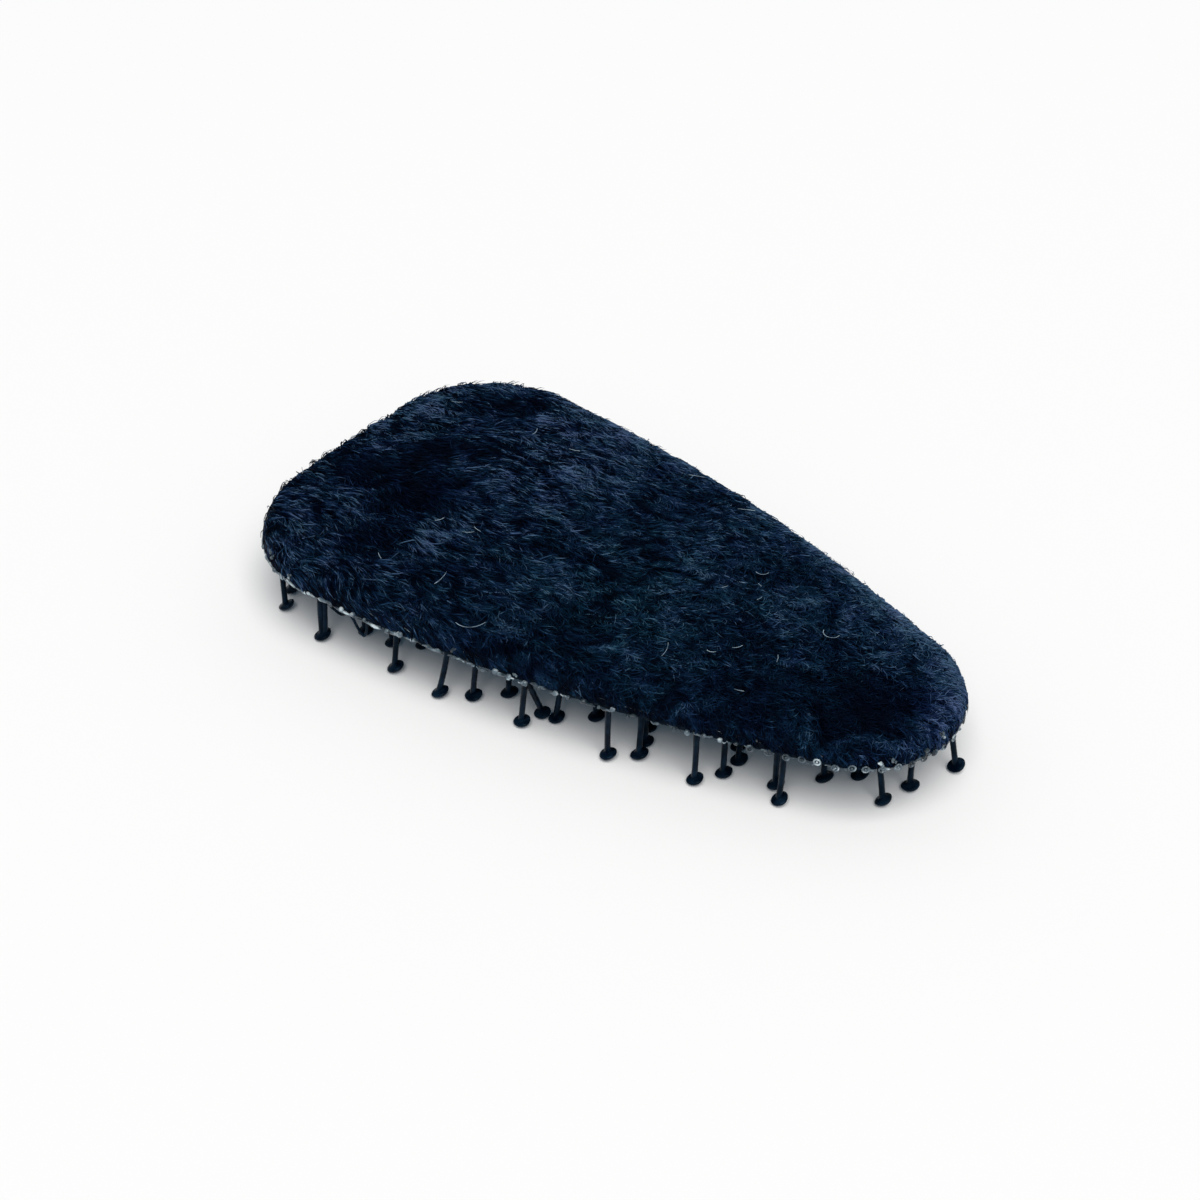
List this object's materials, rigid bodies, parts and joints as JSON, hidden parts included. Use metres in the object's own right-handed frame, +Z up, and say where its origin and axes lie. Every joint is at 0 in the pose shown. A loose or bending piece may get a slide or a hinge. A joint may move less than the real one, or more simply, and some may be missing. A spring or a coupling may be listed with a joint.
{
  "type": "no-crease hair clip",
  "caption": "Tapered plush hair patch with rounded ends, backed with mushroom-hook tape whose stiff pins grip the hair without a clasp.",
  "frame": {"origin": "under the middle of the patch, on the surface that the hook heads stand on", "axes": "+X along the patch to its narrow end, +Z up through the plush face, +Y across the patch"},
  "size_m": [0.055, 0.0302, 0.0075],
  "materials": {
    "plush": "short laid pile, near-black navy, matt with a faint blue sheen",
    "film": "milky hot-melt film, glinting along the cut edge",
    "tape": "tight woven black tape",
    "hook": "glossy black monofilament"
  },
  "bodies": {
    "root": {"plush_cover": "plush", "bonding_film": "film", "hook_tape_ground": "tape", "hook_filament_01": "hook", "hook_filament_02": "hook", "hook_filament_03": "hook", "hook_filament_04": "hook", "hook_filament_05": "hook", "hook_filament_06": "hook", "hook_filament_07": "hook", "hook_filament_08": "hook", "hook_filament_09": "hook", "hook_filament_10": "hook", "hook_filament_11": "hook", "hook_filament_12": "hook", "hook_filament_13": "hook", "hook_filament_14": "hook", "hook_filament_15": "hook", "hook_filament_16": "hook", "hook_filament_17": "hook", "hook_filament_18": "hook", "hook_filament_19": "hook", "hook_filament_20": "hook", "hook_filament_21": "hook", "hook_filament_22": "hook", "hook_filament_23": "hook", "hook_filament_24": "hook"}
  },
  "joints": []
}
